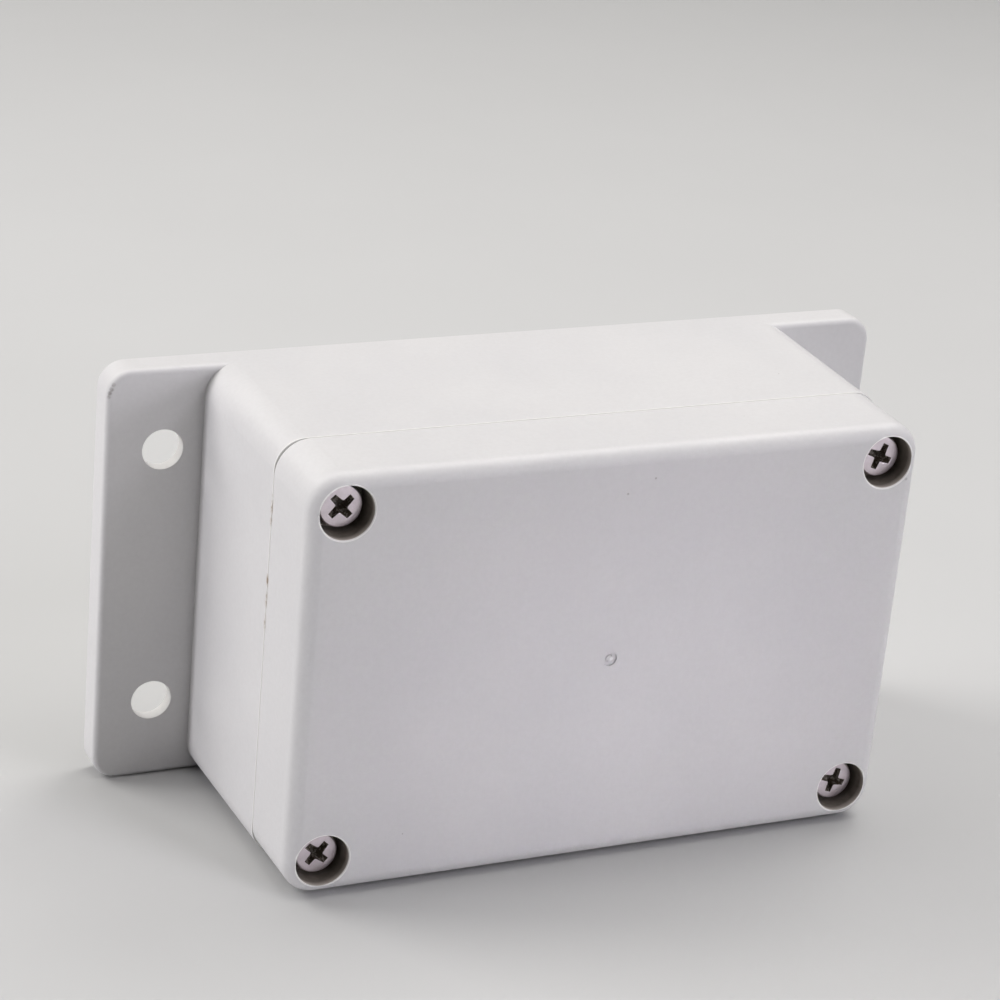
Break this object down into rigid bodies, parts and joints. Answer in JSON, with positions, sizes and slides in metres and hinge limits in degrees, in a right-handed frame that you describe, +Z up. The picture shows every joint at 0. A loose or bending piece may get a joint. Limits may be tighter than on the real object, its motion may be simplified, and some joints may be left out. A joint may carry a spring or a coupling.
{
  "type": "project box",
  "caption": "Sealed rectangular plastic enclosure with a flat mounting ear at each end and a shallow lid held by recessed corner screws.",
  "frame": {"origin": "on the surface that the box stands on, under the centre of the whole box with its ears", "axes": "+X along the box's length from ear to ear, +Z up, and the lid faces -Y; the back that goes against a wall faces +Y"},
  "size_m": [0.1304, 0.048, 0.068],
  "materials": {
    "grey_abs": "light grey moulded plastic, fine matte texture",
    "seal_rubber": "soft black seal rubber",
    "screw_steel": "plated steel, satin",
    "insert_brass": "turned brass"
  },
  "bodies": {
    "base_body": {"base": "grey_abs", "insert_top_left": "insert_brass", "insert_top_right": "insert_brass", "insert_bottom_left": "insert_brass", "insert_bottom_right": "insert_brass"},
    "lid_body": {"lid": "grey_abs", "gasket": "seal_rubber"},
    "screw_top_left": {"lid_screw_top_left": "screw_steel"},
    "screw_top_right": {"lid_screw_top_right": "screw_steel"},
    "screw_bottom_left": {"lid_screw_bottom_left": "screw_steel"},
    "screw_bottom_right": {"lid_screw_bottom_right": "screw_steel"}
  },
  "joints": [
    {"name": "lid_lift", "type": "slide", "parent": "base_body", "child": "lid_body", "axis": [0, -1, 0], "range_m": [0, 0.06]},
    {"name": "screw_turn_top_left", "type": "hinge", "parent": "lid_body", "child": "screw_top_left", "pos_m": [-0.0437, -0.0189, 0.0617], "axis": [0, -1, 0], "continuous": true},
    {"name": "screw_turn_top_right", "type": "hinge", "parent": "lid_body", "child": "screw_top_right", "pos_m": [0.0437, -0.0189, 0.0617], "axis": [0, -1, 0], "continuous": true},
    {"name": "screw_turn_bottom_left", "type": "hinge", "parent": "lid_body", "child": "screw_bottom_left", "pos_m": [-0.0437, -0.0189, 0.0063], "axis": [0, -1, 0], "continuous": true},
    {"name": "screw_turn_bottom_right", "type": "hinge", "parent": "lid_body", "child": "screw_bottom_right", "pos_m": [0.0437, -0.0189, 0.0063], "axis": [0, -1, 0], "continuous": true}
  ]
}
